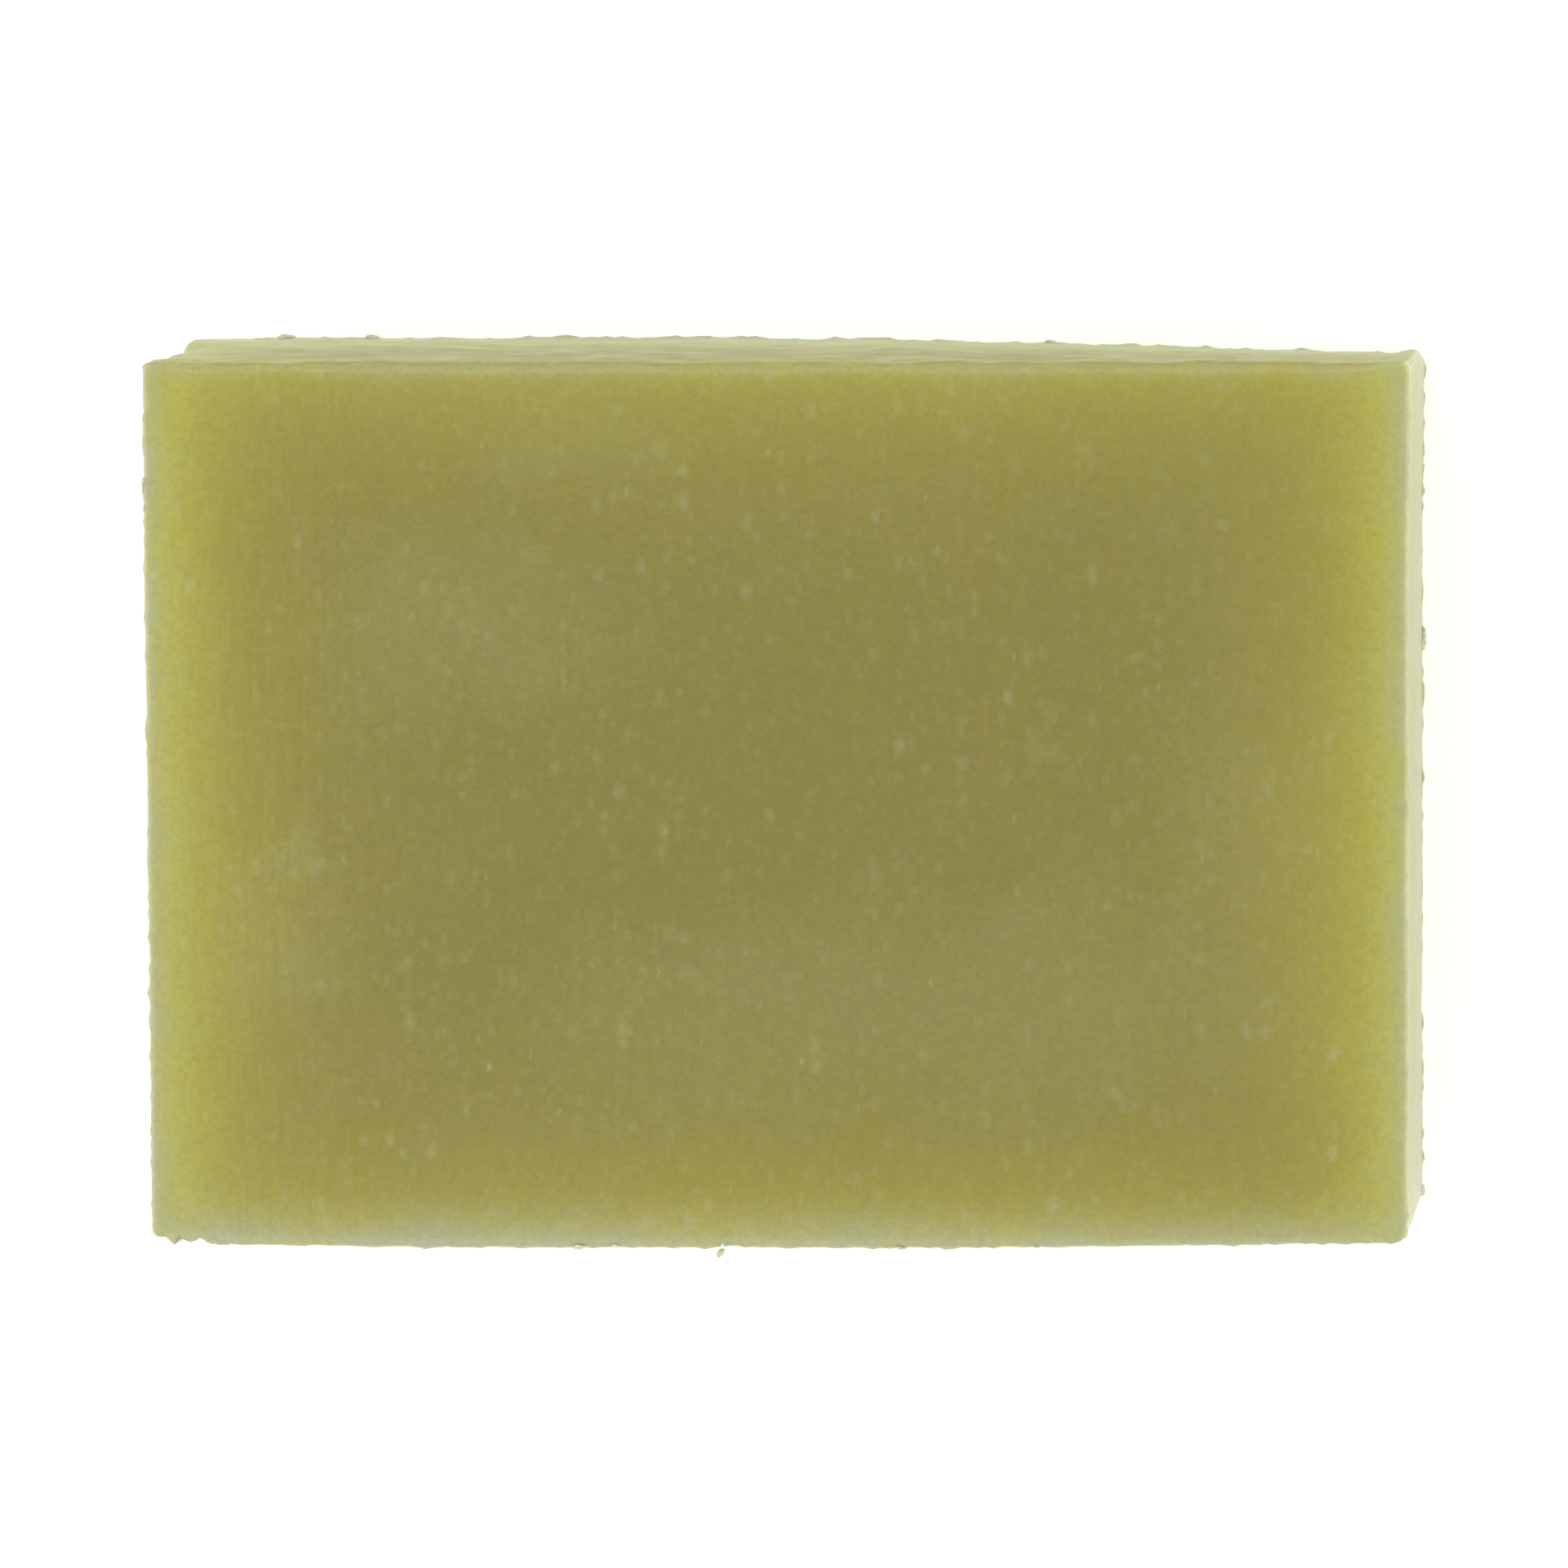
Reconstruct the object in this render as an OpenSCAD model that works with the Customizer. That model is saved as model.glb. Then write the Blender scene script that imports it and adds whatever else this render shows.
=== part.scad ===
// A bar cut from a block of waxy clay, with the bits of clay that the cutting left on its edges.
// It lies flat on one of its two large cut faces. The origin is the centre of that underside,
// +X runs along the bar's length, +Y along its width and +Z points up. Millimetres.

/* [Bar] */
// Length of the bar, along X
bar_l = 88; // [60:1:120]
// Width of the bar, along Y
bar_w = 61.5; // [40:0.5:90]
// Thickness of the bar, along Z
bar_t = 25; // [16:1:40]
// Radius of the upright corners
corner_r = 0.8; // [0.5:0.1:2]
// Radius of the one upright corner that is knocked rounder than the others
worn_corner_r = 1.2; // [1:0.1:4]
// Radius of the rims round the two large faces
rim_r = 0.5; // [0.3:0.1:0.7]

/* [Crumbs] */
// Width of the largest crumb; the others are parts of it
crumb_d = 1.1; // [0.8:0.1:1.4]
// Radius of the bead of clay pushed up along one upright corner
bead_r = 0.55; // [0.4:0.05:0.8]
// Length of that bead
bead_l = 15; // [8:1:16]
// Length of the thread that the hanging crumb hangs by
thread_l = 0.9; // [0.5:0.1:1.5]
// Thickness of that thread
thread_d = 0.16; // [0.1:0.02:0.3]

/* [Hidden] */
$fn = 48;

right = bar_l / 2;
left = -right;
far = bar_w / 2;
near = -far;
// How deep a crumb's centre sits inside the edge that it clings to, as a part of its width
bedding = 0.15;
// Centre heights of the bits that cling just inside the top rim and just off the surface below
top_rim = bar_t - rim_r;
foot = crumb_d / 2;

// A rectangle with round corners, centred
module rounded_rectangle(l, w, r) {
    square([l - 2 * r, w], center = true);
    square([l, w - 2 * r], center = true);
    for (x = [-1, 1], y = [-1, 1])
        translate([x * (l / 2 - r), y * (w / 2 - r)]) circle(r);
}

// The part of a square corner that rounding it to radius r takes away
module corner_waste(r) {
    difference() {
        translate([0, -r - 1]) square(r + 1);
        circle(r);
    }
}

// The bar seen from above: three slightly soft corners and one worn one
module plan_outline() {
    difference() {
        rounded_rectangle(bar_l, bar_w, corner_r);
        translate([right - worn_corner_r, near + worn_corner_r]) corner_waste(worn_corner_r);
    }
}

// The block itself: the plan, with its rims rounded along the length and along the width
module block() {
    over = bar_l + bar_w;
    intersection() {
        linear_extrude(bar_t) plan_outline();
        translate([0, 0, bar_t / 2]) rotate([90, 0, 0])
            linear_extrude(over, center = true) rounded_rectangle(bar_l, bar_t, rim_r);
        translate([0, 0, bar_t / 2]) rotate([90, 0, 90])
            linear_extrude(over, center = true) rounded_rectangle(bar_w, bar_t, rim_r);
    }
}

// One angular crumb, d across, turned about the upright axis
module crumb(d, turn) {
    rotate([turn, turn / 2, turn]) intersection() {
        sphere(d = d);
        cube([d * 0.85, d * 0.7, d * 0.8], center = true);
        rotate([0, 40, 30]) cube(d * 0.78, center = true);
    }
}

// Crumbs at [x, y, z, width as a part of crumb_d], cut to lie face to face against the bar
module clinging(spots) {
    difference() {
        for (i = [0:len(spots) - 1])
            translate([spots[i].x, spots[i].y, spots[i].z])
                crumb(crumb_d * spots[i][3], 50 + 70 * i);
        block();
    }
}

module bar() color("#a39a55") block();

// A bead of clay pushed up along the far right upright corner
module corner_bead() color("#c9caa0") difference() {
    translate([right - bead_r / 2, far - bead_r / 2, bar_t * 0.62]) {
        cylinder(h = bead_l, r = bead_r, center = true);
        for (z = [-1, 1]) translate([0, 0, z * bead_l / 2]) sphere(bead_r);
    }
    block();
}

// The crumb that hangs by a thread from a nick in the near top rim
module hanging_crumb() color("#c4c79a") difference() {
    translate([-bar_l * 0.047, near, top_rim]) {
        rotate([90, 0, 0]) cylinder(h = thread_l, d = thread_d);
        translate([0, -thread_l, 0]) crumb(crumb_d * 0.55, 20);
    }
    block();
}

// Crumbs along the foot of the far side
module far_edge_crumbs() color("#c9caa0") {
    out = far - crumb_d * bedding;
    clinging([
        [-bar_l * 0.423, out, foot, 1],
        [-bar_l * 0.352, out, foot, 0.7],
        [bar_l * 0.2, out, foot, 0.6]
    ]);
}

// Crumbs along the foot of the right side
module right_edge_crumbs() color("#d2d2ad") {
    out = right - crumb_d * bedding;
    clinging([
        [out, bar_w * 0.153, foot, 0.95],
        [out, bar_w * 0.351, foot, 0.6],
        [out, bar_w * 0.308, foot, 0.5]
    ]);
}

// Crumbs on the worn upright corner: one at its foot and one halfway up
module right_corner_crumbs() color("#d2d2ad") {
    out = worn_corner_r * 0.3 + crumb_d * bedding;
    clinging([
        [right - crumb_d * 0.2, near + worn_corner_r * 0.6, foot, 1],
        [right - out, near + out, bar_t * 0.56, 0.8]
    ]);
}

// Crumbs along the near top rim
module near_edge_crumbs() color("#b9bd8d") {
    out = near + crumb_d * bedding;
    clinging([
        [-bar_l * 0.16, out, top_rim, 0.7],
        [-bar_l * 0.13, out, top_rim, 0.45],
        [bar_l * 0.097, out, top_rim, 0.6],
        [bar_l * 0.205, out, top_rim, 0.5]
    ]);
}

// The row of teeth at the left end of the near top rim
module left_corner_crumbs() color("#b9bd8d") {
    out = near + crumb_d * bedding;
    clinging([
        [left + 1.6, out, top_rim, 0.75],
        [left + 2.9, out, top_rim, 0.6],
        [left + 4.3, out, top_rim, 0.45]
    ]);
}

// Crumbs along the left top rim
module left_edge_crumbs() color("#b9bd8d") {
    out = left + crumb_d * bedding;
    clinging([
        [out, bar_w * 0.36, top_rim, 0.7],
        [out, bar_w * 0.335, top_rim, 0.55],
        [out, -bar_w * 0.38, top_rim, 0.45]
    ]);
}

bar();
corner_bead();
hanging_crumb();
far_edge_crumbs();
right_edge_crumbs();
right_corner_crumbs();
near_edge_crumbs();
left_corner_crumbs();
left_edge_crumbs();
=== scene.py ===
import math

import bmesh
import bpy
import numpy as np
from mathutils import Matrix, Vector, noise
from mathutils.bvhtree import BVHTree


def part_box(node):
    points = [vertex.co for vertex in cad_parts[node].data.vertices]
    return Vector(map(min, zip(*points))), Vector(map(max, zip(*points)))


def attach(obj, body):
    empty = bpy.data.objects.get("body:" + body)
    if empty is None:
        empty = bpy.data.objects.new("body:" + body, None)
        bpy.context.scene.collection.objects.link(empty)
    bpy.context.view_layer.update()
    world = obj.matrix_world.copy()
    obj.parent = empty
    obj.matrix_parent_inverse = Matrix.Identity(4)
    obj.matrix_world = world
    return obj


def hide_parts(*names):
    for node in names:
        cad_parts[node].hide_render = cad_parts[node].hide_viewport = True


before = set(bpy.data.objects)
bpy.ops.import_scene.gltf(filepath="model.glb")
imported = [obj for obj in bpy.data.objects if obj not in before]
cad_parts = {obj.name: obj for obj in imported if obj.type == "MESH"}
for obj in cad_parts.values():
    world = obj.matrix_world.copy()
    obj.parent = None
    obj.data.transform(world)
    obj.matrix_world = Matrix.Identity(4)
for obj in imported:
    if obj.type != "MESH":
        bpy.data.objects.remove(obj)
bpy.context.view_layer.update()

# A bar cut from a block of waxy clay, lying flat, with the crumbs that the cutting left on it.
# +X runs along the bar to the right, +Y across it to the far side, +Z up out of the top face.

MM = 0.001
bar_low, bar_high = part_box("bar")
HALF_LENGTH = (bar_high.x - bar_low.x) / 2
HALF_WIDTH = (bar_high.y - bar_low.y) / 2
THICKNESS = bar_high.z - bar_low.z


# ---------------------------------------------------------------- small helpers

def srgb(hex_colour):
    """A hex sRGB colour as the linear RGBA that shaders take."""
    parts = [int(hex_colour[i:i + 2], 16) / 255 for i in (1, 3, 5)]
    return [c / 12.92 if c <= 0.04045 else ((c + 0.055) / 1.055) ** 2.4 for c in parts] + [1.0]


def put(tree, kind, inputs=None, **settings):
    """Adds one node: settings are its properties, inputs its values or the sockets that feed it."""
    made = tree.nodes.new(kind)
    for name, value in settings.items():
        setattr(made, name, value)
    for socket, value in (inputs or {}).items():
        if isinstance(value, bpy.types.NodeSocket):
            tree.links.new(value, made.inputs[socket])
        else:
            made.inputs[socket].default_value = value
    return made


def new_piece(name, mesh):
    """An object at the origin, whose place is in its mesh."""
    piece = bpy.data.objects.new(name, mesh)
    bpy.context.scene.collection.objects.link(piece)
    return piece


def mesh_piece(name, points, faces, material):
    """A smooth-shaded mesh object."""
    mesh = bpy.data.meshes.new(name)
    mesh.from_pydata([tuple(p) for p in points], [], [tuple(f) for f in faces])
    mesh.shade_smooth()
    mesh.materials.append(material)
    return new_piece(name, mesh)


def lumps(points, size, seed, octaves=2):
    """Smooth noise, about -1 to 1, at each point. size is the lumps' width, one or one per axis."""
    shift = np.array([17.3, 5.9, 11.1]) * seed
    return np.array([noise.fractal(Vector(p), 1.0, 2.0, octaves) for p in points / size + shift])


# ---------------------------------------------------------------- materials

# How deep light reaches into the clay, in red, green and blue
LIGHT_REACH = (1.1 * MM, 1.1 * MM, 0.9 * MM)
# How much light the clay takes in through its ends, its long sides, and its top and bottom, for the
# painted glow
SIDE_LIGHT = (1.0, 0.55, 1.0)
ALL_SIDES = (1.0, 1.0, 1.0)
# In mm, for the painted glow: how soon light from a rim fades, how far it favours the foot, and
# how wide the palest painted band at a rim is
GLOW_FADE = 6.0
GLOW_RISE = 2.5
CLEAR_RIM = 0.6
# Painted glow, the clay's colour by how much light gets through: thick, half thick, near a rim, at a
# rim
THICK_TO_THIN = ((0.0, "#7e7820"), (0.25, "#908828"), (0.5, "#9e9830"), (0.8, "#aaa84a"),
                 (1.0, "#a8aa58"))
# Painted reflection at the two palest rims: axis, and in mm where the pale band starts and stops, and
# its strength
RIM_REFLECTION_BANDS = ((1, 4.0 - HALF_WIDTH / MM, -HALF_WIDTH / MM, 0.28),
             (0, HALF_LENGTH / MM - 2.6, HALF_LENGTH / MM, 0.13))
# Patches of paler clay (above zero) and warmer clay (below): x, y, width, height in mm, strength
KNEADED_PATCHES = ((-21, 12, 22, 13, 0.9), (-13, 24, 18, 8, 0.6), (-35, -10, 9, 12, 0.8),
                   (-34, -3, 4, 5, 0.9), (17, -12, 34, 16, 0.8), (18, 4, 4, 4, 1.0),
                   (-6, -15, 24, 12, 0.7), (33, 0, 12, 14, 0.5), (-43, -6, 5, 30, 0.6),
                   (-36, 12, 6, 22, -0.9), (-5, 20, 30, 8, -0.6), (-28, -18, 14, 10, -0.9),
                   (33, -23, 16, 8, -1.6), (36, 14, 9, 16, -0.9), (13, 17, 5, 12, -0.6),
                   (14, 1, 9, 12, -0.7), (-24, -3, 14, 10, -0.6), (8, -24, 5, 4, -0.9))
# How far the patches' outlines are torn about, in mm
PATCH_TEAR = 15.0
# Pale grains, and in the last row short streaks that are painted glints: spacing in mm, how squeezed
# they are across the cut, radius as a part of the spacing, how rare the bright ones are, and how pale
# they get
GRAINS_AND_GLINTS = ((0.9, 0.7, 0.55, 1.6, 0.16), (1.5, 0.7, 0.45, 4.0, 0.26),
               (4.5, 0.9, 0.22, 3.0, 0.20), (1.0, 0.3, 0.2, 4.0, 0.36))
# Where along the bar, in mm, the blade dragged hardest
DRAG_AT = -35.0
CLAY_IOR = 1.45


def rim_glow(tree, axes, facing, reach, share, rise=0.0):
    """How near a point is to the rims around its face: 1 at a rim, fading to 0 in the middle over
    reach in mm. Each pair of sides gives exp(-distance / reach), and nothing on its own faces.
    share is how much light comes in through the sides along X, Y and Z, and rise in mm moves
    light from the top rims to the foot."""
    parts = put(tree, "ShaderNodeCombineXYZ")
    sizes = (HALF_LENGTH / MM, HALF_WIDTH / MM, THICKNESS / 2 / MM)
    for axis, (half, middle) in enumerate(zip(sizes, (0, 0, sizes[2] + rise))):
        off = put(tree, "ShaderNodeMath", {0: axes.outputs[axis], 1: middle},
                  operation="SUBTRACT")
        part = put(tree, "ShaderNodeMath", {0: off.outputs[0], 1: reach}, operation="DIVIDE")
        curve = put(tree, "ShaderNodeMath", {0: part.outputs[0]}, operation="COSH")
        both = put(tree, "ShaderNodeMath", {0: curve.outputs[0], 1: 2 * math.exp(-half / reach)},
                   operation="MULTIPLY")
        own = put(tree, "ShaderNodeMath", {0: facing.outputs[axis], 1: facing.outputs[axis]},
                  operation="MULTIPLY")
        rest = put(tree, "ShaderNodeMath", {0: 1.0, 1: own.outputs[0]}, operation="SUBTRACT")
        other = put(tree, "ShaderNodeMath", {0: rest.outputs[0]}, operation="SQRT")
        near = put(tree, "ShaderNodeMath", {0: both.outputs[0], 1: other.outputs[0]},
                   operation="MULTIPLY")
        put_in = put(tree, "ShaderNodeMath", {0: near.outputs[0], 1: share[axis]},
                     operation="MULTIPLY")
        tree.links.new(put_in.outputs[0], parts.inputs[axis])
    return put(tree, "ShaderNodeVectorMath", {0: parts.outputs[0]}, operation="LENGTH").outputs[
        "Value"]


def painted_rim_glow(tree, axes, facing):
    """Painted glow: the clay's colour by how much light would get through it, a dull olive in the
    thick middle, yellow-green near the rims, and a painted pale glow and sheen in the last millimetre
    of a rim."""
    # Painted glow: lighter and yellower towards the rims, for light that gets through the thin clay
    # there
    glow = rim_glow(tree, axes, facing, GLOW_FADE, SIDE_LIGHT, GLOW_RISE)
    ramp = put(tree, "ShaderNodeValToRGB", {0: glow})
    while len(ramp.color_ramp.elements) < len(THICK_TO_THIN):
        ramp.color_ramp.elements.new(0.5)
    for element, (position, shade) in zip(ramp.color_ramp.elements, THICK_TO_THIN):
        element.position = position
        element.color = srgb(shade)
    # Painted pale glow and sheen in the last millimetre of a rim
    edge = put(tree, "ShaderNodeMapRange", {"Value": rim_glow(tree, axes, facing, CLEAR_RIM,
                                                              ALL_SIDES),
                                            "From Max": 0.9, "To Max": 0.75})
    return put(tree, "ShaderNodeMix", {0: edge.outputs[0], 6: ramp.outputs[0],
                                       7: srgb("#aaac92")}, data_type="RGBA").outputs[2]


def painted_side_light(tree, colour, mm, axes, facing, torn_side):
    """Painted light on the sides: a paler, greener colour stands in for the reflection and the lit
    floor's light they catch, most of all low down. The far side was torn more than cut: it is darker
    above its foot, and its foot is painted paler for the lit floor's light, with a few pale blotches."""
    low_down = put(tree, "ShaderNodeMapRange", {"Value": axes.outputs[2],
                                                "From Min": THICKNESS / MM, "From Max": 0.0})
    floor_light = put(tree, "ShaderNodeMath", {0: low_down.outputs[0], 1: 0.75}, operation="MULTIPLY")
    # Painted reflection and floor light: the sides paler and greener, most of all low down
    skin = put(tree, "ShaderNodeMapRange", {"Value": facing.outputs[2], "From Min": 0.75,
                                            "From Max": 0.1, "To Max": floor_light.outputs[0]},
               interpolation_type="SMOOTHSTEP")
    colour = put(tree, "ShaderNodeMix", {0: skin.outputs[0], 6: colour, 7: srgb("#a2a77e")},
                 data_type="RGBA").outputs[2]

    # The far side darker above its foot, and its foot painted paler for the lit floor's light, with a
    # few pale blotches
    foot_only = put(tree, "ShaderNodeMath", {0: low_down.outputs[0], 1: 3.0}, operation="POWER")
    upper = put(tree, "ShaderNodeMath", {0: 1.0, 1: foot_only.outputs[0]}, operation="SUBTRACT")
    dull = put(tree, "ShaderNodeMath", {0: torn_side.outputs[0], 1: upper.outputs[0]},
               operation="MULTIPLY")
    colour = put(tree, "ShaderNodeMix", {0: dull.outputs[0], 6: colour, 7: srgb("#d8d8a0")},
                 data_type="RGBA", blend_type="MULTIPLY").outputs[2]
    blotches = put(tree, "ShaderNodeTexNoise", {"Vector": mm, "Scale": 1 / 3.5, "Detail": 3.0})
    blotch = put(tree, "ShaderNodeMapRange", {"Value": blotches.outputs[0], "From Min": 0.5,
                                              "From Max": 0.75, "To Max": 0.4})
    painted_foot_light = put(tree, "ShaderNodeMath", {0: foot_only.outputs[0], 1: 0.5,
                                             2: blotch.outputs[0]}, operation="MULTIPLY_ADD")
    foot_light_and_blotches = put(tree, "ShaderNodeMath", {0: painted_foot_light.outputs[0], 1: torn_side.outputs[0]},
                   operation="MULTIPLY", use_clamp=True)
    return put(tree, "ShaderNodeMix", {0: foot_light_and_blotches.outputs[0], 6: colour, 7: srgb("#b3b996")},
               data_type="RGBA").outputs[2]


def painted_rim_reflection(tree, colour, axes):
    """Painted reflection: the last few millimetres at the near and right rims are painted paler and
    bluer for the pale surroundings they reflect, and the far half of the bar is a little yellower
    than the near half."""
    # Painted reflection: the near and right rims paler and bluer
    for axis, start, stop, strength in RIM_REFLECTION_BANDS:
        rim = put(tree, "ShaderNodeMapRange", {"Value": axes.outputs[axis], "From Min": start,
                                               "From Max": stop, "To Max": strength},
                  interpolation_type="SMOOTHSTEP")
        colour = put(tree, "ShaderNodeMix", {0: rim.outputs[0], 6: colour, 7: srgb("#a9b09c")},
                     data_type="RGBA").outputs[2]
    far_half = put(tree, "ShaderNodeMapRange", {"Value": axes.outputs[1],
                                                "From Min": -HALF_WIDTH / MM,
                                                "From Max": HALF_WIDTH / MM})
    return put(tree, "ShaderNodeMix", {0: far_half.outputs[0], 6: colour, 7: srgb("#fffff2")},
               data_type="RGBA", blend_type="MULTIPLY").outputs[2]


def clouded(tree, colour, clouds):
    """Cooler and warmer clay, where the clouds are thin and thick."""
    tint = put(tree, "ShaderNodeValToRGB", {0: clouds.outputs[0]})
    cool, warm = tint.color_ramp.elements
    cool.position = 0.36
    cool.color = srgb("#f8f8ff")
    warm.position = 0.64
    warm.color = srgb("#faf7d3")
    return put(tree, "ShaderNodeMix", {0: 1.0, 6: colour, 7: tint.outputs[0]},
               data_type="RGBA", blend_type="MULTIPLY").outputs[2]


def kneaded_patches(tree, colour, mm):
    """Where two lumps of clay were kneaded together: paler patches and warmer ones, with torn
    outlines, strongest at the top face."""
    jitter = put(tree, "ShaderNodeTexNoise", {"Vector": mm, "Scale": 1 / 8.0, "Detail": 6.0,
                                              "Roughness": 0.7})
    torn = put(tree, "ShaderNodeVectorMath", {0: jitter.outputs["Color"], 1: (PATCH_TEAR,) * 3,
                                              2: (-PATCH_TEAR / 2,) * 3},
               operation="MULTIPLY_ADD")
    moved = put(tree, "ShaderNodeVectorMath", {0: mm, 1: torn.outputs[0]}, operation="ADD")
    kneaded = 0.0
    for x, y, width, height, strength in KNEADED_PATCHES:
        off = put(tree, "ShaderNodeVectorMath", {0: moved.outputs[0],
                                                 1: (x, y, THICKNESS / MM)},
                  operation="SUBTRACT")
        scaled = put(tree, "ShaderNodeVectorMath", {0: off.outputs[0],
                                                    1: (2 / width, 2 / height, 0.1)},
                     operation="MULTIPLY")
        far = put(tree, "ShaderNodeVectorMath", {0: scaled.outputs[0]}, operation="LENGTH")
        patch = put(tree, "ShaderNodeMapRange", {"Value": far.outputs["Value"], "From Min": 1.5,
                                                 "From Max": 0.2, "To Max": strength},
                    interpolation_type="SMOOTHSTEP")
        kneaded = put(tree, "ShaderNodeMath", {0: patch.outputs[0], 1: kneaded},
                      operation="ADD").outputs[0]
    pale = put(tree, "ShaderNodeMapRange", {"Value": kneaded, "To Max": 0.12})
    warm = put(tree, "ShaderNodeMapRange", {"Value": kneaded, "From Max": -1.0, "To Max": 0.25})
    for amount, patch_colour in ((pale, "#a9ab78"), (warm, "#8a7a22")):
        colour = put(tree, "ShaderNodeMix", {0: amount.outputs[0], 6: colour,
                                             7: srgb(patch_colour)}, data_type="RGBA").outputs[2]
    return colour


def grains_and_glints(tree, colour, mm):
    """Soft pale grains, blurred by the clay over them, and short pale streaks along the cut that are
    painted glints, crowded in some places and sparse in others."""
    wobble = put(tree, "ShaderNodeTexNoise", {"Vector": mm, "Scale": 2.4, "Detail": 2.0})
    bent = put(tree, "ShaderNodeVectorMath", {0: wobble.outputs["Color"], 1: (0.5, 0.5, 0.5),
                                              2: mm}, operation="MULTIPLY_ADD").outputs[0]
    thick = put(tree, "ShaderNodeTexNoise", {"Vector": mm, "Scale": 1 / 14.0, "Detail": 2.0})
    crowd = put(tree, "ShaderNodeMapRange", {"Value": thick.outputs[0], "From Min": 0.35,
                                             "From Max": 0.65, "To Min": 0.5})
    # The last row paints glints: short pale streaks for the small highlights on the cut
    for spacing, squeeze, reach, rarity, strength in GRAINS_AND_GLINTS:
        stretched = put(tree, "ShaderNodeVectorMath",
                        {0: bent, 1: (1 / spacing, squeeze / spacing, 1 / spacing)},
                        operation="MULTIPLY")
        grain = put(tree, "ShaderNodeTexVoronoi", {"Vector": stretched.outputs[0], "Scale": 1.0})
        near = put(tree, "ShaderNodeMapRange", {"Value": grain.outputs["Distance"],
                                                "From Min": reach, "From Max": 0.0,
                                                "To Max": strength},
                   interpolation_type="SMOOTHSTEP")
        pick = put(tree, "ShaderNodeSeparateColor", {0: grain.outputs["Color"]})
        bright = put(tree, "ShaderNodeMath", {0: pick.outputs[0], 1: rarity}, operation="POWER")
        shape = put(tree, "ShaderNodeMath", {0: near.outputs[0], 1: bright.outputs[0]},
                    operation="MULTIPLY")
        amount = put(tree, "ShaderNodeMath", {0: shape.outputs[0], 1: crowd.outputs[0]},
                     operation="MULTIPLY")
        colour = put(tree, "ShaderNodeMix", {0: amount.outputs[0], 6: colour, 7: srgb("#b9bb9e")},
                     data_type="RGBA").outputs[2]
    return colour


def dragged(tree, colour, mm, axes, grit, clouds):
    """Fine grit, and fine hairs where the blade dragged, most of them near the left end."""
    combed = put(tree, "ShaderNodeVectorMath", {0: mm, 1: (4.0, 0.22, 0.3)}, operation="MULTIPLY")
    hairs = put(tree, "ShaderNodeTexNoise", {"Vector": combed.outputs[0], "Scale": 1.0,
                                             "Detail": 2.0})
    along = put(tree, "ShaderNodeMath", {0: axes.outputs[0], 1: DRAG_AT}, operation="SUBTRACT")
    off = put(tree, "ShaderNodeMath", {0: along.outputs[0]}, operation="ABSOLUTE")
    hardest = put(tree, "ShaderNodeMapRange", {"Value": off.outputs[0], "From Min": 9.0,
                                               "From Max": 1.0, "To Min": 0.05, "To Max": 0.22})
    hair_depth = put(tree, "ShaderNodeMath", {0: hardest.outputs[0], 1: clouds.outputs[0]},
                     operation="MULTIPLY")
    for pattern, depth in ((grit.outputs[0], 0.25), (hairs.outputs[0], hair_depth.outputs[0])):
        colour = put(tree, "ShaderNodeMix", {0: depth, 6: colour, 7: pattern}, data_type="RGBA",
                     blend_type="OVERLAY").outputs[2]
    return colour


def cut_clay():
    """Waxy clay cut with a blade. Its thick middle is a dull olive and its rims carry a painted glow,
    yellow-green and palest at the very edge, for the light that gets through them; painted reflection
    and floor light pale its sides and two rims. Warmer and cooler clouds, soft pale grains and short
    streaks that are painted glints lie in it, with fine drag lines along the cut."""
    material = bpy.data.materials.new("cut_waxy_clay")
    material.use_nodes = True
    tree = material.node_tree
    shader = tree.nodes["Principled BSDF"]
    place = put(tree, "ShaderNodeTexCoord")
    mm = put(tree, "ShaderNodeVectorMath", {0: place.outputs["Object"], "Scale": 1 / MM},
             operation="SCALE").outputs[0]
    axes = put(tree, "ShaderNodeSeparateXYZ", {0: mm})
    facing = put(tree, "ShaderNodeSeparateXYZ", {0: place.outputs["Normal"]})
    torn_side = put(tree, "ShaderNodeMapRange", {"Value": facing.outputs[1], "From Min": 0.7,
                                                 "From Max": 1.0}, interpolation_type="SMOOTHSTEP")
    clouds = put(tree, "ShaderNodeTexNoise", {"Vector": mm, "Scale": 1 / 7.0, "Detail": 5.0,
                                              "Roughness": 0.6})
    grit = put(tree, "ShaderNodeTexNoise", {"Vector": mm, "Scale": 2.5, "Detail": 3.0,
                                            "Roughness": 0.75})

    colour = painted_rim_glow(tree, axes, facing)
    colour = painted_side_light(tree, colour, mm, axes, facing, torn_side)
    colour = painted_rim_reflection(tree, colour, axes)
    colour = clouded(tree, colour, clouds)
    colour = kneaded_patches(tree, colour, mm)
    colour = grains_and_glints(tree, colour, mm)
    colour = dragged(tree, colour, mm, axes, grit, clouds)

    cut = put(tree, "ShaderNodeMapRange", {"Value": grit.outputs[0], "From Min": 0.3,
                                           "From Max": 0.7, "To Min": 0.28, "To Max": 0.4})
    rough = put(tree, "ShaderNodeMath", {0: torn_side.outputs[0], 1: 0.25, 2: cut.outputs[0]},
                operation="MULTIPLY_ADD")
    bump = put(tree, "ShaderNodeBump", {"Strength": 0.5, "Distance": 0.04 * MM,
                                        "Height": grit.outputs[0]})
    tree.links.new(colour, shader.inputs["Base Color"])
    tree.links.new(rough.outputs[0], shader.inputs["Roughness"])
    tree.links.new(bump.outputs[0], shader.inputs["Normal"])
    shader.inputs["IOR"].default_value = CLAY_IOR
    shader.inputs["Subsurface Weight"].default_value = 1.0
    shader.inputs["Subsurface Scale"].default_value = 1.0
    shader.inputs["Subsurface Radius"].default_value = LIGHT_REACH
    shader.inputs["Sheen Weight"].default_value = 0.1
    shader.inputs["Sheen Roughness"].default_value = 0.3
    return material


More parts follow.
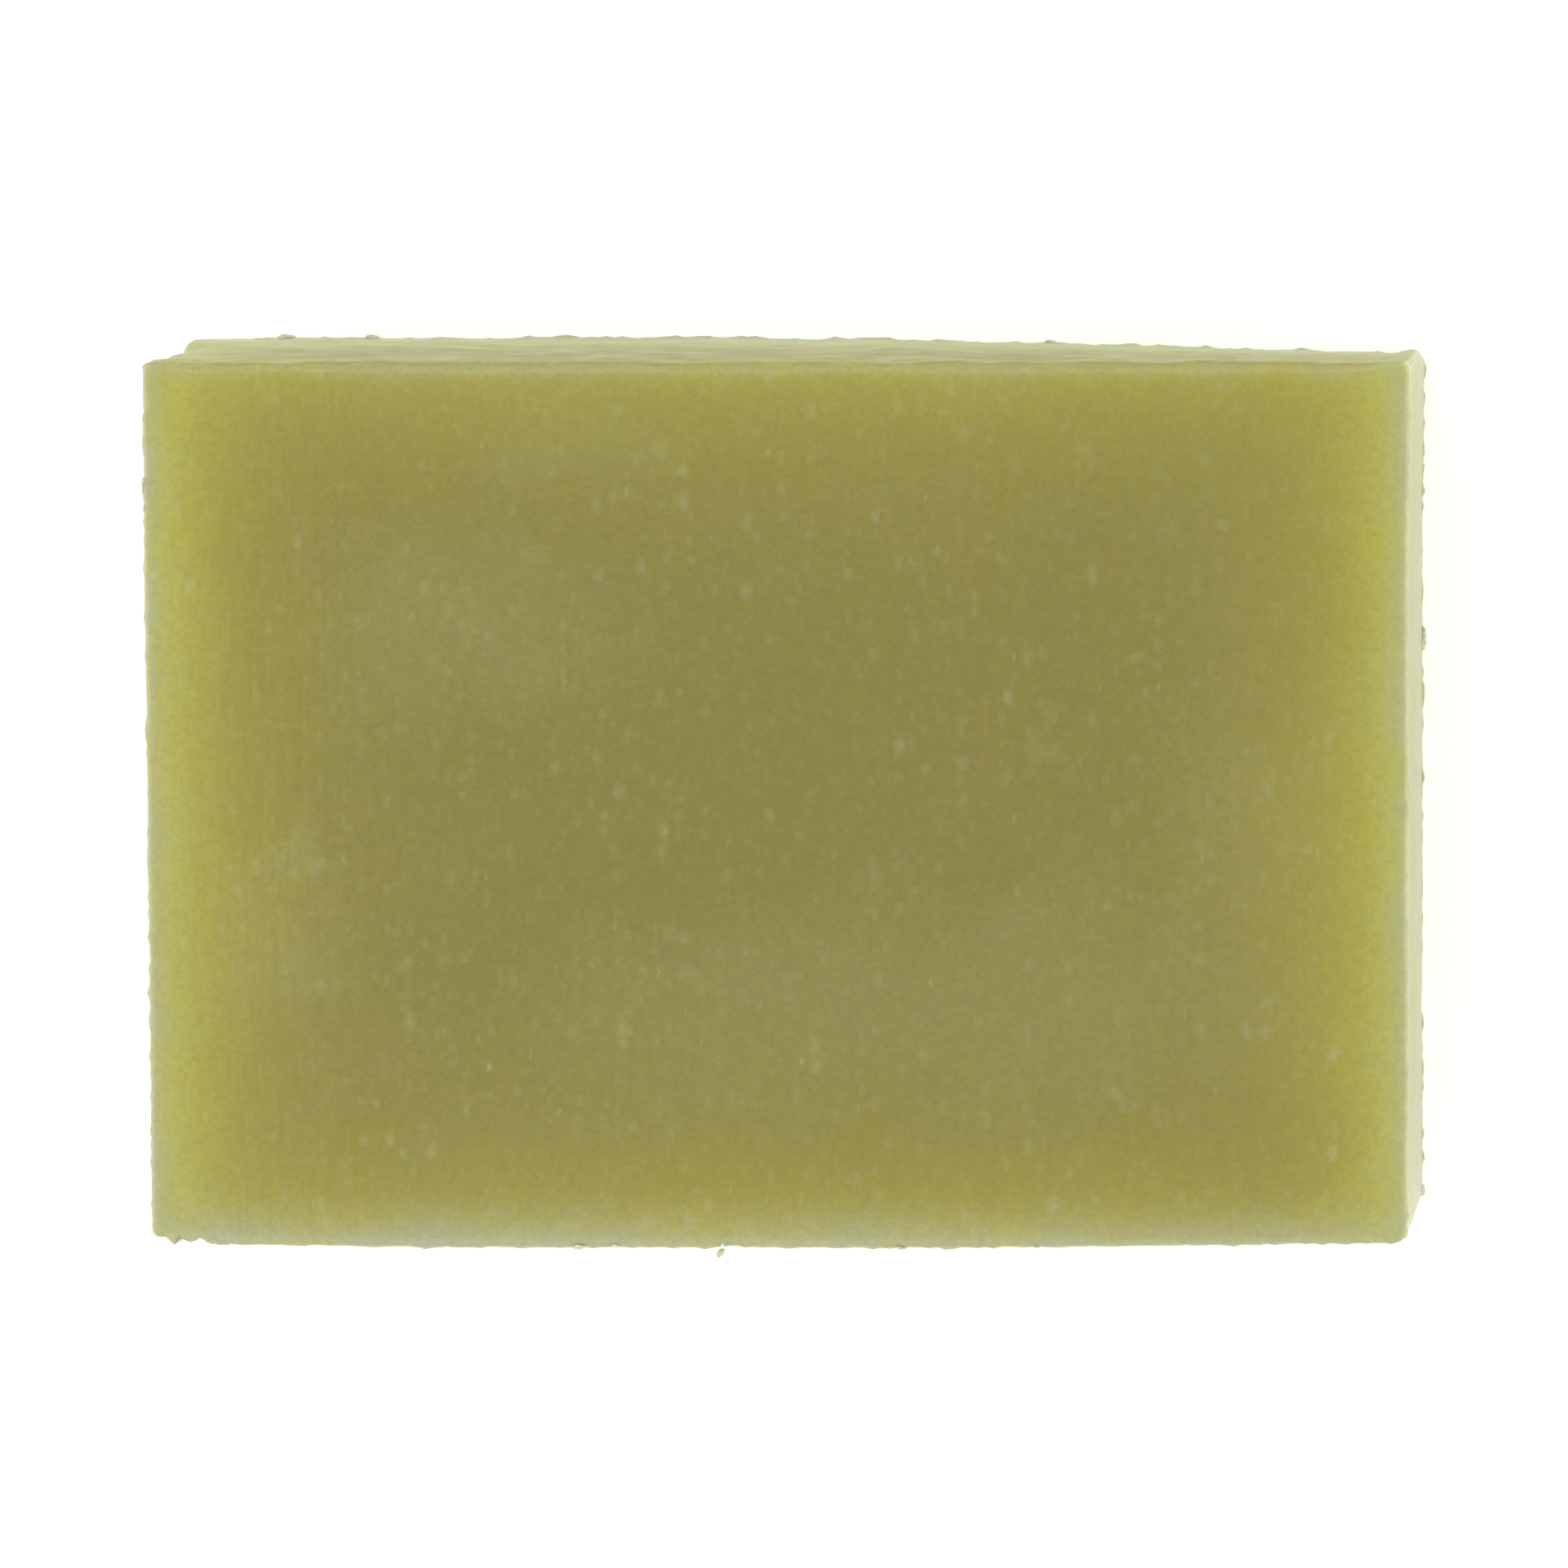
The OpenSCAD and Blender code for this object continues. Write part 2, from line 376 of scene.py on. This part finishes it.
def crumb_clay():
    """The same clay in crumbs: so thin that light passes right through, and their pale base colour
    paints that light in.
    """
    material = bpy.data.materials.new("thin_clay_crumbs")
    material.use_nodes = True
    tree = material.node_tree
    shader = tree.nodes["Principled BSDF"]
    place = put(tree, "ShaderNodeTexCoord")
    mm = put(tree, "ShaderNodeVectorMath", {0: place.outputs["Object"], "Scale": 1 / MM},
             operation="SCALE").outputs[0]
    grit = put(tree, "ShaderNodeTexNoise", {"Vector": mm, "Scale": 3.0, "Detail": 3.0})
    tone = put(tree, "ShaderNodeValToRGB", {0: grit.outputs[0]})
    thick, thin = tone.color_ramp.elements
    thick.position = 0.3
    # Painted glow: pale colours for the light passing through the thin crumbs
    thick.color = srgb("#abaf8a")
    thin.position = 0.7
    thin.color = srgb("#c0c4a0")
    bump = put(tree, "ShaderNodeBump", {"Strength": 0.4, "Distance": 0.04 * MM,
                                        "Height": grit.outputs[0]})
    tree.links.new(tone.outputs[0], shader.inputs["Base Color"])
    tree.links.new(bump.outputs[0], shader.inputs["Normal"])
    shader.inputs["Roughness"].default_value = 0.5
    shader.inputs["IOR"].default_value = CLAY_IOR
    shader.inputs["Subsurface Weight"].default_value = 1.0
    shader.inputs["Subsurface Scale"].default_value = 0.4
    shader.inputs["Subsurface Radius"].default_value = LIGHT_REACH
    shader.inputs["Sheen Weight"].default_value = 0.25
    return material


# ---------------------------------------------------------------- the bar

# The skin's grid, in mm: its finest step, and along X, Y and Z its coarsest step and how far the
# fine steps go from the low and the high end
FINE_STEP = 0.17
GRID_ZONES = ((0.56, 4.6, 2.2), (0.56, 2.0, 1.8), (0.7, 1.2, 1.8))
# The upright corners: which one, and the radius at its foot and at its top, in mm
UPRIGHT_CORNERS = (((1, -1), 0.2, 0.9), ((1, 1), 0.6, 0.6), ((-1, 1), 0.2, 0.2),
                   ((-1, -1), 0.2, 0.2))
# How far the near side bows out, where it does so most (from -1 to 1), and how fast that fades
NEAR_BOW = 0.52
BOW_CENTRE = -0.41
BOW_FADE = 0.345
# How far the burrs at the rims stand out, and how far from a rim they reach, in mm
BURR = 0.3
BURR_REACH = 0.9
# Along the chipped stretch of the near top rim, in mm: how far from the left end, how deep
CHIP_PLACES = (0.2, 0.75, 1.05, 1.38, 1.78, 2.2, 2.6, 2.92, 3.25, 3.6, 4.0)
CHIP_DEPTHS = (0.5, 0.55, 0.3, 0.0, 0.4, 0.22, 0.04, 0.32, 0.46, 0.22, 0.0)
# Up the worn far left corner and up the bulging far right one, in mm: how high, how deep
WORN_HEIGHTS = (0, 3, 3.8, 5.3, 8, 12.5, 18, 25)
WORN_DEPTHS = (0.1, 0.15, 0.3, 0.75, 0.7, 0.45, 0.2, 0)
BULGE_HEIGHTS = (0, 4, 9, 16, 21)
BULGE_DEPTHS = (0.25, 0.42, 0.35, 0.15, 0)


def grid_lines(length, fine, coarse, first_zone, last_zone, growth=1.2):
    """Positions from 0 to length: fine steps within a zone at each end, growing to coarse ones."""
    ends = []
    for zone in (first_zone, last_zone):
        steps = [0.0]
        step = fine
        while step < coarse:
            steps.append(steps[-1] + step)
            if steps[-1] > zone:
                step *= growth
        ends.append(np.array(steps))
    start = ends[0][-1]
    stop = length - ends[1][-1]
    middle = np.linspace(start, stop, round((stop - start) / coarse) + 1)
    return np.concatenate([ends[0][:-1], middle, length - ends[1][-2::-1]])


def block_grid(xs, ys, zs):
    """The skin of a block as points on grid lines, and its faces, all looking outwards."""
    number = -np.ones((len(xs), len(ys), len(zs)), int)
    skin = np.ones(number.shape, bool)
    skin[1:-1, 1:-1, 1:-1] = False
    number[skin] = np.arange(skin.sum())
    i, j, k = np.nonzero(skin)
    faces = []
    for sheet, turned in ((number[:, :, -1], False), (number[:, :, 0], True),
                          (number[-1], False), (number[0], True),
                          (number[:, -1], True), (number[:, 0], False)):
        corners = [sheet[:-1, :-1], sheet[1:, :-1], sheet[1:, 1:], sheet[:-1, 1:]]
        quads = np.stack(corners, -1).reshape(-1, 4)
        faces.append(quads[:, ::-1] if turned else quads)
    return np.stack([xs[i], ys[j], zs[k]], 1), np.concatenate(faces)


def soften(points, half, radius):
    """Rounds every edge of a block centred on the origin; radius is one value per point."""
    core = np.clip(points, -(half - radius[:, None]), half - radius[:, None])
    out = points - core
    reach = np.linalg.norm(out, axis=1, keepdims=True)
    normal = out / np.maximum(reach, 1e-9)
    return core + normal * radius[:, None], normal


def round_corner(points, corner, foot_radius, top_radius):
    """Turns one square upright corner of the plan into an arc, from the foot's to the top's."""
    side = np.sign(corner)
    height = points[:, 2:] / THICKNESS + 0.5
    centre = corner - side * (foot_radius + (top_radius - foot_radius) * height)
    off = (points[:, :2] - centre) * side
    inside = (off > 0).all(1)
    off = np.maximum(off, 1e-9)
    scale = off.max(1) / np.linalg.norm(off, axis=1)
    points[inside, :2] = (centre + side * off * scale[:, None])[inside]


def scoop(points, centre, radius, push):
    """Presses the clay round centre in by push, fading out smoothly at radius."""
    near = np.linalg.norm(points - centre, axis=1) / radius
    points += np.clip(1 - near ** 2, 0, 1)[:, None] ** 2 * np.array(push)


def far_lean(x, height):
    """How far the far side leans out (above zero) or in, at x from -1 to 1 and height 0 to 1."""
    at_foot = 0.14 - 1.15 * np.clip((x + 0.18) / 1.14, 0, None) ** 1.6
    return (1 - height) * at_foot * MM


def rim_radius(x, y, z):
    """How softly each edge is rounded: the near rim was rubbed a little, the far top rim a lot,
    and the rims across the two ends are still crisp."""
    near_rim = np.clip(-y * 8 - 7, 0, 1)
    far_top = np.clip(y * 8 - 7, 0, 1) * (z > 0)
    away_from_ends = np.clip((1 - np.abs(x)) * 12, 0, 1)
    return (0.28 + (0.25 * near_rim + 1.1 * far_top) * away_from_ends) * MM


def bar_block(material):
    """The bar: a block with soft rims, slightly out of square as a hand cut leaves it, with a
    wavy far side, ragged rims, a few nicks, and shallow relief from grains and cutting."""
    size = np.array([HALF_LENGTH * 2, HALF_WIDTH * 2, THICKNESS])
    half = size / 2
    lines = [grid_lines(side, FINE_STEP * MM, coarse * MM, first * MM, last * MM)
             for side, (coarse, first, last) in zip(size, GRID_ZONES)]
    points, faces = block_grid(*lines)
    points -= half
    radius = rim_radius(*(points / half).T) + 0.1 * MM * lumps(points, 5 * MM, 1)
    points, normal = soften(points, half, radius)
    for corner, at_foot, at_top in UPRIGHT_CORNERS:
        round_corner(points, np.array(corner) * half[:2], at_foot * MM, at_top * MM)

    x, y, z = (points / half).T
    height = (1 + z) / 2
    near_side = np.clip(-y, 0, 1)
    far_side = np.clip(y, 0, 1)
    # The near side bows out, most at left of its middle, the far side leans in at the foot, and
    # the ends are not quite parallel
    points[:, 1] -= near_side * (NEAR_BOW - BOW_FADE * (x - BOW_CENTRE) ** 2) * MM
    points[:, 1] += far_side * far_lean(x, height)
    points[:, 0] -= np.clip(-x, 0, 1) * 0.14 * MM
    points[:, 0] += np.clip(x, 0, 1) * np.interp(y, [-1, 0.6, 1], [-0.12, -0.04, 0.15]) * MM

    flat = np.abs(normal[:, 2]) > 0.9
    sides = 1 - np.abs(normal[:, 2])
    relief = np.where(flat, 0.05 * lumps(points, 16 * MM, 2), 0)
    relief += np.where(flat, 0.010 * lumps(points, np.array([0.9, 5, 9]) * MM, 3), 0)
    relief += 0.012 * lumps(points, 1.1 * MM, 4)
    relief += sides * (0.05 * lumps(points, 6 * MM, 5) + 0.04 * lumps(points, 2 * MM, 9))
    rough_far = sides * np.clip(normal[:, 1], 0, 1)
    relief += rough_far * (0.11 * lumps(points, 4.5 * MM, 6) + 0.06 * lumps(points, 1.3 * MM, 7))
    # Burrs: the clay stands out in small ragged bumps along the rims of both cut faces
    rim = np.exp(-((half[2] - np.abs(points[:, 2])) / (BURR_REACH * MM)) ** 2) * sides
    relief += rim * BURR * np.clip(lumps(points, 0.9 * MM, 8, 3), 0, None)
    points += normal * (relief * MM)[:, None]

    left, right, near, far, up = -half[0], half[0], -half[1], half[1], half[2]
    along, out, high = points.T / MM
    # Teeth: the left end of the near top rim is chipped away between a few points of clay
    from_left = along - left / MM
    chip = np.interp(from_left, CHIP_PLACES, CHIP_DEPTHS)
    at_rim = np.clip(1.4 - (up / MM - high) / 3.5, 0, 1) * np.clip(near / MM + 1.2 - out, 0, 1)
    points[:, 1] += chip * at_rim * MM
    # A worn stretch low on the far left upright corner
    worn = np.interp(high + up / MM, WORN_HEIGHTS, WORN_DEPTHS)
    at_corner = np.exp(-from_left / 2.2) * np.clip(out - far / MM + 2, 0, 1)
    points[:, 1] -= worn * at_corner * MM
    # Clay pushed outwards low on the far right upright corner
    bulge = np.exp(-((right / MM - along - 0.7) / 0.9) ** 2) * np.clip(out - far / MM + 2, 0, 1)
    bulge *= np.interp(high + up / MM, BULGE_HEIGHTS, BULGE_DEPTHS)
    points[:, 1] += bulge * MM
    points[:, 0] += 0.4 * bulge * MM
    # Two shallow nicks, in the near top rim and in the foot of the right side
    for centre, reach, push in (
            ((-3.4 * MM, near, up), 1.5, (0, 0.30, -0.2)),
            ((right, near + 14 * MM, -up), 1.5, (-0.15, 0, 0.1))):
        scoop(points, np.array(centre), reach * MM, np.array(push) * MM)
    points[:, 2] = np.clip(points[:, 2] + half[2], 0, None)
    points += np.array([(bar_low.x + bar_high.x) / 2, (bar_low.y + bar_high.y) / 2, bar_low.z])
    return mesh_piece("bar_block", points, faces, material)


# ---------------------------------------------------------------- crumbs

# The crumbs' shape: how finely each is divided, its lumps' spacing and depth, and the seed
CRUMB_SHAPE = {"Detail": 5, "Lumps per millimetre": 2.4, "Lump depth": 0.55, "Seed": 1}
# The least and the most that a crumb is stretched along, across and through, as parts of its width
CRUMB_STRETCH = ((1.2, 0.9, 0.32), (1.7, 1.2, 0.5))
# How far a crumb's middle lies above the clay, and the least above the floor, as parts of its width
CRUMB_LIFT = 0.03
CRUMB_CLEARANCE = 0.6
# How wide each group's crumbs are, as parts of their CAD solids
CRUMB_SPREAD = {"far_edge_crumbs": 1.05, "right_edge_crumbs": 1.05, "right_corner_crumbs": 0.7,
                "near_edge_crumbs": 1.05, "left_corner_crumbs": 0.7, "left_edge_crumbs": 1.05}
HANGING_WIDTH = 0.48 * MM


def crumb_maker(material):
    """Geometry nodes that press a low lumpy crumb onto each point. The point's `width` is how
    wide the crumb is and its `facing` is the way out of the clay that it lies on."""
    tree = bpy.data.node_groups.new("crumb_maker", "GeometryNodeTree")
    for name, kind in (("Points", "NodeSocketGeometry"), ("Detail", "NodeSocketInt"),
                       ("Lumps per millimetre", "NodeSocketFloat"),
                       ("Lump depth", "NodeSocketFloat"), ("Seed", "NodeSocketInt")):
        tree.interface.new_socket(name, in_out="INPUT", socket_type=kind)
    tree.interface.new_socket("Crumbs", in_out="OUTPUT", socket_type="NodeSocketGeometry")
    given = put(tree, "NodeGroupInput").outputs
    width = put(tree, "GeometryNodeInputNamedAttribute", {"Name": "width"}, data_type="FLOAT")
    facing = put(tree, "GeometryNodeInputNamedAttribute", {"Name": "facing"},
                 data_type="FLOAT_VECTOR")
    ball = put(tree, "GeometryNodeMeshIcoSphere", {"Radius": 0.5, "Subdivisions": given["Detail"]})
    upright = put(tree, "FunctionNodeAlignRotationToVector", {"Vector": facing.outputs[0]},
                  axis="Z")
    full_turn = (0, 0, 6.28)
    spin = put(tree, "FunctionNodeRandomValue", {0: (0, 0, 0), 1: full_turn,
                                                 "Seed": given["Seed"]}, data_type="FLOAT_VECTOR")
    turn = put(tree, "FunctionNodeRotateRotation", {0: upright.outputs[0], 1: spin.outputs[0]},
               rotation_space="LOCAL")
    squash = put(tree, "FunctionNodeRandomValue", {0: CRUMB_STRETCH[0], 1: CRUMB_STRETCH[1],
                                                   "Seed": given["Seed"]},
                 data_type="FLOAT_VECTOR")
    size = put(tree, "ShaderNodeVectorMath", {0: squash.outputs[0], "Scale": width.outputs[0]},
               operation="SCALE")
    spread = put(tree, "GeometryNodeInstanceOnPoints", {
        "Points": given["Points"], "Instance": ball.outputs["Mesh"],
        "Rotation": turn.outputs[0], "Scale": size.outputs[0]})
    real = put(tree, "GeometryNodeRealizeInstances", {0: spread.outputs[0]})
    place = put(tree, "GeometryNodeInputPosition")
    per_mm = put(tree, "ShaderNodeMath", {0: given["Lumps per millimetre"], 1: 1 / MM},
                 operation="MULTIPLY")
    pattern = put(tree, "ShaderNodeTexNoise", {"Vector": place.outputs[0],
                                               "Scale": per_mm.outputs[0], "Detail": 3.0})
    swell = put(tree, "ShaderNodeMath", {0: pattern.outputs[0], 1: 0.5}, operation="SUBTRACT")
    depth = put(tree, "ShaderNodeMath", {0: width.outputs[0], 1: given["Lump depth"]},
                operation="MULTIPLY")
    push = put(tree, "ShaderNodeMath", {0: swell.outputs[0], 1: depth.outputs[0]},
               operation="MULTIPLY")
    outwards = put(tree, "GeometryNodeInputNormal")
    offset = put(tree, "ShaderNodeVectorMath", {0: outwards.outputs[0], "Scale": push.outputs[0]},
                 operation="SCALE")
    moved = put(tree, "GeometryNodeSetPosition", {0: real.outputs[0], "Offset": offset.outputs[0]})
    smooth = put(tree, "GeometryNodeSetShadeSmooth", {0: moved.outputs[0]})
    done = put(tree, "GeometryNodeSetMaterial", {0: smooth.outputs[0], "Material": material})
    put(tree, "NodeGroupOutput", {0: done.outputs[0]})
    return tree


def grow(name, tree, places, widths, facings):
    """Runs the crumb maker on a point for each crumb, and keeps the result as a plain mesh."""
    start = bpy.data.meshes.new(name + "_start")
    start.from_pydata(places, [], [])
    width = start.attributes.new("width", "FLOAT", "POINT")
    width.data.foreach_set("value", widths)
    facing = start.attributes.new("facing", "FLOAT_VECTOR", "POINT")
    facing.data.foreach_set("vector", [part for way in facings for part in way])
    source = new_piece(name + "_start", start)
    maker = source.modifiers.new("maker", "NODES")
    maker.node_group = tree
    for socket in tree.interface.items_tree:
        if socket.in_out == "INPUT" and socket.name in CRUMB_SHAPE:
            maker[socket.identifier] = CRUMB_SHAPE[socket.name]
    bpy.context.view_layer.update()
    grown = source.evaluated_get(bpy.context.evaluated_depsgraph_get())
    mesh = bpy.data.meshes.new_from_object(grown)
    bpy.data.objects.remove(source)
    return new_piece(name, mesh)


def solids_of(node):
    """The centre and the size of each separate solid in a CAD node."""
    work = bmesh.new()
    work.from_mesh(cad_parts[node].data)
    bmesh.ops.remove_doubles(work, verts=work.verts, dist=1e-7)
    left = set(work.verts)
    found = []
    while left:
        group = set()
        edge = [left.pop()]
        while edge:
            corner = edge.pop()
            group.add(corner)
            for link in corner.link_edges:
                other = link.other_vert(corner)
                if other in left:
                    left.remove(other)
                    edge.append(other)
        spots = np.array([corner.co for corner in group])
        found.append((spots.min(0), spots.max(0)))
    work.free()
    found.sort(key=lambda box: tuple(box[0]))
    return [((low + high) / 2, high - low) for low, high in found]


def bedded_crumbs(name, tree, surface, spots, widths):
    """Crumbs on the clay nearest to each spot, flat where they would go below the floor."""
    places = []
    facings = []
    for spot, width in zip(spots, widths):
        place, facing = surface.find_nearest(Vector(spot))[:2]
        place = place + facing * width * CRUMB_LIFT
        place.z = max(place.z, width * CRUMB_CLEARANCE)
        places.append(tuple(place))
        facings.append(tuple(facing))
    crumbs = grow(name, tree, places, widths, facings)
    for corner in crumbs.data.vertices:
        corner.co.z = max(corner.co.z, bar_low.z)
    return crumbs


def tube(spine, radii, segments=20):
    """Points and faces of a closed tube with a pole at each end."""
    points = [spine[0]]
    faces = []
    for centre, radius in zip(spine[1:-1], radii[1:-1]):
        for turn in np.linspace(0, 2 * math.pi, segments, endpoint=False):
            points.append(centre + radius * np.array([math.cos(turn), math.sin(turn), 0]))
    points.append(spine[-1])
    rings = len(spine) - 2
    for s in range(segments):
        t = (s + 1) % segments
        faces.append((0, 1 + t, 1 + s))
        for r in range(rings - 1):
            this, above = 1 + r * segments, 1 + (r + 1) * segments
            faces.append((this + s, this + t, above + t, above + s))
        last = 1 + (rings - 1) * segments
        faces.append((last + s, last + t, len(points) - 1))
    return np.array(points), faces


def corner_bead(material):
    """The low roll of clay on the far right upright corner, thick in its middle."""
    low, high = (np.array(c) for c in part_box("corner_bead"))
    radius = (high[0] - low[0]) * 0.55
    rings = 70
    along = np.linspace(0, 1, rings)
    heights = 1.5 * MM + along * (high[2] - low[2])
    spine = np.stack([np.full(rings, HALF_LENGTH - 0.6 * radius),
                      HALF_WIDTH - 0.75 * radius + far_lean(1.0, heights / THICKNESS),
                      heights], 1)
    radii = radius * np.sin(math.pi * along) ** 0.35 * (0.9 + 0.1 * np.cos(9 * along + 1))
    points, faces = tube(spine, radii)
    points[:, :2] += 0.07 * MM * np.stack([lumps(points, 1.6 * MM, 11),
                                           lumps(points, 1.6 * MM, 12)], 1)
    return mesh_piece("corner_bead_roll", points, faces, material)


def hanging_crumb(material, tree, surface):
    """The small crumb that hangs off the near top rim by a thread, which thins towards it."""
    low, high = (Vector(c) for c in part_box("hanging_crumb"))
    crumb = Vector(((low.x + high.x) / 2, low.y + 0.3 * MM, (low.z + high.z) / 2))
    rim = surface.find_nearest(Vector((crumb.x + 0.15 * MM, bar_low.y, crumb.z)))[0]
    rings = 24
    along = np.linspace(0, 1, rings)[:, None]
    spine = np.array(rim) * (1 - along) + np.array(crumb) * along
    spine[:, 2] -= 0.12 * MM * np.sin(math.pi * along[:, 0])
    radii = (0.13 - 0.09 * along[:, 0]) * MM
    points, faces = tube(spine[:, [0, 2, 1]], radii, 10)
    points = points[:, [0, 2, 1]]
    thread = mesh_piece("thread", points, faces, material)
    bit = grow("hanging_crumb_bit", tree, [tuple(crumb)], [HANGING_WIDTH], [(0.3, 0, 1)])
    both = bmesh.new()
    both.from_mesh(bit.data)
    both.from_mesh(thread.data)
    both.to_mesh(bit.data)
    both.free()
    bpy.data.objects.remove(thread)
    return bit


def ride_and_replace(piece, node):
    """Fastens a piece to the bar's one body, in place of a CAD node of clay scraps."""
    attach(piece, "root")
    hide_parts(node)


clay = cut_clay()
thin_clay = crumb_clay()
block = bar_block(clay)
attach(block, "root")
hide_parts("bar")

bpy.context.view_layer.update()
block_surface = BVHTree.FromObject(block, bpy.context.evaluated_depsgraph_get())
crumb_tree = crumb_maker(thin_clay)
ride_and_replace(corner_bead(clay), "corner_bead")
ride_and_replace(hanging_crumb(thin_clay, crumb_tree, block_surface), "hanging_crumb")
for node_name, spread in CRUMB_SPREAD.items():
    solids = solids_of(node_name)
    bits = bedded_crumbs(node_name + "_bits", crumb_tree, block_surface,
                         [centre for centre, size in solids],
                         [spread * max(size) for centre, size in solids])
    ride_and_replace(bits, node_name)


# ---------------------------------------------------------------- studio

FLOOR_REACH = 6.0
# Softboxes: place and width and height in metres, and power in watts
SOFTBOXES = (("top_softbox", (-0.25, -0.2, 0.9), 0.9, 0.9, 2.9),
             ("left_softbox", (-0.8, 0.1, 0.32), 0.5, 0.7, 2.0),
             ("right_softbox", (0.8, 0.1, 0.32), 0.5, 0.4, 2.2),
             ("far_softbox", (0.05, 0.95, 0.4), 0.9, 0.5, 0.4))
ROOM_LIGHT = 0.85
# The camera: where it stands and aims, its lens and sensor in mm, and its roll in degrees
CAMERA_STAND = Vector((0.0818, 0.0876, 0.892))
CAMERA_AIM = Vector((0.0006, 0.0014, THICKNESS))
LENS = 288.8
SENSOR = 36.0
CAMERA_ROLL = -0.378


def light_table():
    """A sheet of matt white acrylic, softly lit from below, for the bar to lie on."""
    material = bpy.data.materials.new("lit_white_acrylic")
    material.use_nodes = True
    tree = material.node_tree
    shader = tree.nodes["Principled BSDF"]
    place = put(tree, "ShaderNodeTexCoord")
    speck = put(tree, "ShaderNodeTexNoise", {"Vector": place.outputs["Object"], "Scale": 400.0})
    tone = put(tree, "ShaderNodeMapRange", {"Value": speck.outputs[0], "To Min": 0.88,
                                            "To Max": 0.9})
    tree.links.new(tone.outputs[0], shader.inputs["Base Color"])
    shader.inputs["Roughness"].default_value = 0.8
    shader.inputs["Emission Color"].default_value = srgb("#ffffff")
    shader.inputs["Emission Strength"].default_value = 0.3
    return material


def studio():
    """The light table, a white room and four softboxes that the camera doesn't see."""
    corners = [(x * FLOOR_REACH, y * FLOOR_REACH, 0) for x, y in ((-1, -1), (1, -1), (1, 1), (-1, 1))]
    mesh_piece("floor", corners, [(0, 1, 2, 3)], light_table())
    for name, place, width, height, power in SOFTBOXES:
        light = bpy.data.lights.new(name, "AREA")
        light.shape = "RECTANGLE"
        light.size = width
        light.size_y = height
        light.energy = power
        lamp = bpy.data.objects.new(name, light)
        bpy.context.scene.collection.objects.link(lamp)
        lamp.location = place
        lamp.rotation_euler = Vector(place).to_track_quat("Z", "Y").to_euler()
        lamp.visible_camera = False
    world = bpy.data.worlds.new("white_room")
    bpy.context.scene.world = world
    world.use_nodes = True
    world.node_tree.nodes["Background"].inputs["Color"].default_value = srgb("#ffffff")
    world.node_tree.nodes["Background"].inputs["Strength"].default_value = ROOM_LIGHT
    bpy.context.scene.view_settings.view_transform = "Standard"


def camera():
    """A long lens nearly overhead, a little to the right of the bar and beyond its far side."""
    data = bpy.data.cameras.new("camera")
    data.lens = LENS
    data.sensor_width = SENSOR
    data.clip_start = 0.05
    data.clip_end = 30.0
    eye = bpy.data.objects.new("camera", data)
    bpy.context.scene.collection.objects.link(eye)
    forward = (CAMERA_AIM - CAMERA_STAND).normalized()
    right = forward.cross(Vector((0, 1, 0))).normalized()
    up = right.cross(forward)
    turn = Matrix((right, up, -forward)).transposed()
    roll = Matrix.Rotation(math.radians(CAMERA_ROLL), 3, "Z")
    eye.matrix_world = Matrix.Translation(CAMERA_STAND) @ (turn @ roll).to_4x4()
    bpy.context.scene.camera = eye


studio()
camera()
